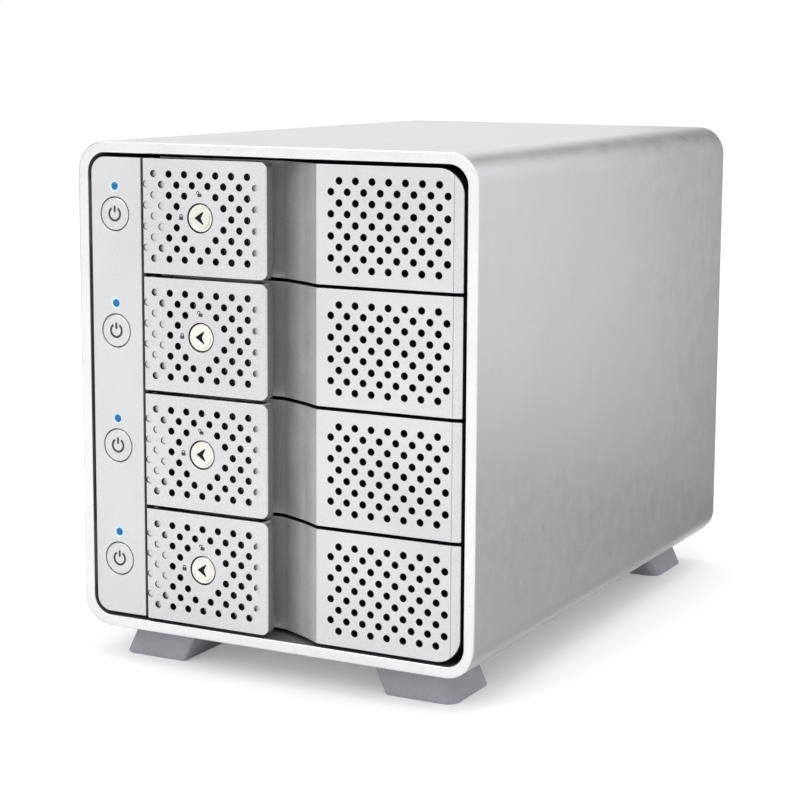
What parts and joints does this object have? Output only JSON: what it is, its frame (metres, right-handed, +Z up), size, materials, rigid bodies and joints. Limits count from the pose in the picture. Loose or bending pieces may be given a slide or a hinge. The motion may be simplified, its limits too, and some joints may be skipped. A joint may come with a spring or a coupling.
{
  "type": "nas enclosure",
  "caption": "Desktop storage enclosure: aluminium sleeve on feet, pull-out drive trays with lockable levers, power buttons with lights, rear fan and sockets.",
  "frame": {"origin": "on the floor, under the middle of the body", "axes": "+Z up, the front with the trays faces -Y, +X to the right as seen from the front"},
  "size_m": [0.136, 0.2106, 0.1624],
  "materials": {
    "satin_aluminium": "fine blasted and clear anodised, with bright machined rims",
    "silver_fascia": "silver-painted front, fine satin speckle",
    "nickel": "polished key lock face",
    "grey_foot": "matte moulded grey",
    "blue_light": "blue light pipe",
    "zinc_steel": "zinc-plated sheet",
    "black_steel": "black powder-coated sheet",
    "black_plastic": "matte black",
    "circuit_green": "solder mask"
  },
  "bodies": {
    "enclosure": {"outer_shell": "satin_aluminium", "foot_front_left": "grey_foot", "foot_front_right": "grey_foot", "foot_rear_left": "grey_foot", "foot_rear_right": "grey_foot", "control_panel": "silver_fascia", "light_pipe_1": "blue_light", "light_pipe_2": "blue_light", "light_pipe_3": "blue_light", "light_pipe_4": "blue_light", "control_board": "circuit_green", "bay_guide_left": "zinc_steel", "bay_guide_right": "zinc_steel", "backplane": "circuit_green", "drive_socket_1": "black_plastic", "drive_socket_2": "black_plastic", "drive_socket_3": "black_plastic", "drive_socket_4": "black_plastic", "main_board": "circuit_green", "ethernet_port": "black_plastic", "usb_port": "black_plastic", "esata_port": "black_plastic", "dc_inlet": "black_plastic", "rear_panel": "zinc_steel", "rear_screw_1": "zinc_steel", "rear_screw_2": "zinc_steel", "rear_screw_3": "zinc_steel", "rear_screw_4": "zinc_steel", "fan_frame": "black_plastic"},
    "tray_1": {"tray_fascia_1": "silver_fascia", "tray_carrier_1": "black_steel", "lever_pin_1": "zinc_steel"},
    "lever_1": {"tray_lever_1": "silver_fascia"},
    "lock_1": {"key_lock_1": "nickel"},
    "button_1": {"power_button_1": "silver_fascia"},
    "tray_2": {"tray_fascia_2": "silver_fascia", "tray_carrier_2": "black_steel", "lever_pin_2": "zinc_steel"},
    "lever_2": {"tray_lever_2": "silver_fascia"},
    "lock_2": {"key_lock_2": "nickel"},
    "button_2": {"power_button_2": "silver_fascia"},
    "tray_3": {"tray_fascia_3": "silver_fascia", "tray_carrier_3": "black_steel", "lever_pin_3": "zinc_steel"},
    "lever_3": {"tray_lever_3": "silver_fascia"},
    "lock_3": {"key_lock_3": "nickel"},
    "button_3": {"power_button_3": "silver_fascia"},
    "tray_4": {"tray_fascia_4": "silver_fascia", "tray_carrier_4": "black_steel", "lever_pin_4": "zinc_steel"},
    "lever_4": {"tray_lever_4": "silver_fascia"},
    "lock_4": {"key_lock_4": "nickel"},
    "button_4": {"power_button_4": "silver_fascia"},
    "fan": {"fan_rotor": "black_plastic"}
  },
  "joints": [
    {"name": "tray_1_slide", "type": "slide", "parent": "enclosure", "child": "tray_1", "axis": [0, -1, 0], "range_m": [0, 0.15]},
    {"name": "lever_1_hinge", "type": "hinge", "parent": "tray_1", "child": "lever_1", "pos_m": [-0.0421, -0.1031, 0.14033], "axis": [0, 0, -1], "range_deg": [0, 75]},
    {"name": "lock_1_turn", "type": "hinge", "parent": "lever_1", "child": "lock_1", "pos_m": [-0.0236, -0.1053, 0.14033], "axis": [0, 1, 0], "range_deg": [0, 90]},
    {"name": "button_1_press", "type": "slide", "parent": "enclosure", "child": "button_1", "axis": [0, 1, 0], "range_m": [0, 0.0012], "stiffness_N_per_m": 300},
    {"name": "tray_2_slide", "type": "slide", "parent": "enclosure", "child": "tray_2", "axis": [0, -1, 0], "range_m": [0, 0.15]},
    {"name": "lever_2_hinge", "type": "hinge", "parent": "tray_2", "child": "lever_2", "pos_m": [-0.0421, -0.1031, 0.10437], "axis": [0, 0, -1], "range_deg": [0, 75]},
    {"name": "lock_2_turn", "type": "hinge", "parent": "lever_2", "child": "lock_2", "pos_m": [-0.0236, -0.1053, 0.10437], "axis": [0, 1, 0], "range_deg": [0, 90]},
    {"name": "button_2_press", "type": "slide", "parent": "enclosure", "child": "button_2", "axis": [0, 1, 0], "range_m": [0, 0.0012], "stiffness_N_per_m": 300},
    {"name": "tray_3_slide", "type": "slide", "parent": "enclosure", "child": "tray_3", "axis": [0, -1, 0], "range_m": [0, 0.15]},
    {"name": "lever_3_hinge", "type": "hinge", "parent": "tray_3", "child": "lever_3", "pos_m": [-0.0421, -0.1031, 0.06842], "axis": [0, 0, -1], "range_deg": [0, 75]},
    {"name": "lock_3_turn", "type": "hinge", "parent": "lever_3", "child": "lock_3", "pos_m": [-0.0236, -0.1053, 0.06842], "axis": [0, 1, 0], "range_deg": [0, 90]},
    {"name": "button_3_press", "type": "slide", "parent": "enclosure", "child": "button_3", "axis": [0, 1, 0], "range_m": [0, 0.0012], "stiffness_N_per_m": 300},
    {"name": "tray_4_slide", "type": "slide", "parent": "enclosure", "child": "tray_4", "axis": [0, -1, 0], "range_m": [0, 0.15]},
    {"name": "lever_4_hinge", "type": "hinge", "parent": "tray_4", "child": "lever_4", "pos_m": [-0.0421, -0.1031, 0.03247], "axis": [0, 0, -1], "range_deg": [0, 75]},
    {"name": "lock_4_turn", "type": "hinge", "parent": "lever_4", "child": "lock_4", "pos_m": [-0.0236, -0.1053, 0.03247], "axis": [0, 1, 0], "range_deg": [0, 90]},
    {"name": "button_4_press", "type": "slide", "parent": "enclosure", "child": "button_4", "axis": [0, 1, 0], "range_m": [0, 0.0012], "stiffness_N_per_m": 300},
    {"name": "fan_spin", "type": "hinge", "parent": "enclosure", "child": "fan", "pos_m": [0.0097, 0.0853, 0.0864], "axis": [0, 1, 0], "continuous": true}
  ]
}
